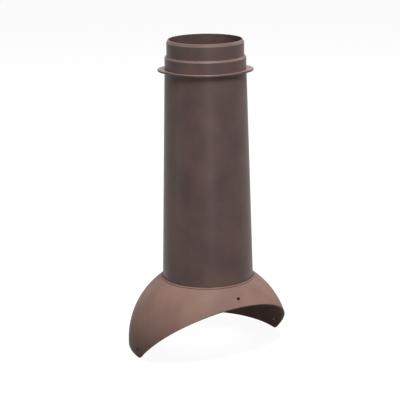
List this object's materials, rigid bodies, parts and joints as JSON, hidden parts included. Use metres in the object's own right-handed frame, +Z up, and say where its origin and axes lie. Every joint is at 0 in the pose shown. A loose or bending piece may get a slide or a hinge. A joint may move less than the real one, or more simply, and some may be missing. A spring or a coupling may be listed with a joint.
{
  "type": "roof flashing",
  "caption": "Ridge or hip flashing: a tapered vent pipe with a stepped spigot and lugged flange, standing in a ball-shaped saddle with screw holes.",
  "frame": {"origin": "centre of the ball that the saddle is cut from, on the vent pipe's axis", "axes": "+Z up the plumb vent pipe, X from foot to foot, -Y towards the raised end of the ridge"},
  "size_m": [0.2382, 0.2121, 0.4536],
  "materials": {
    "pipe_plastic": "satin brown",
    "saddle_plastic": "satin brown"
  },
  "bodies": {
    "root": {"vent_pipe": "pipe_plastic", "ridge_saddle": "saddle_plastic"}
  },
  "joints": []
}
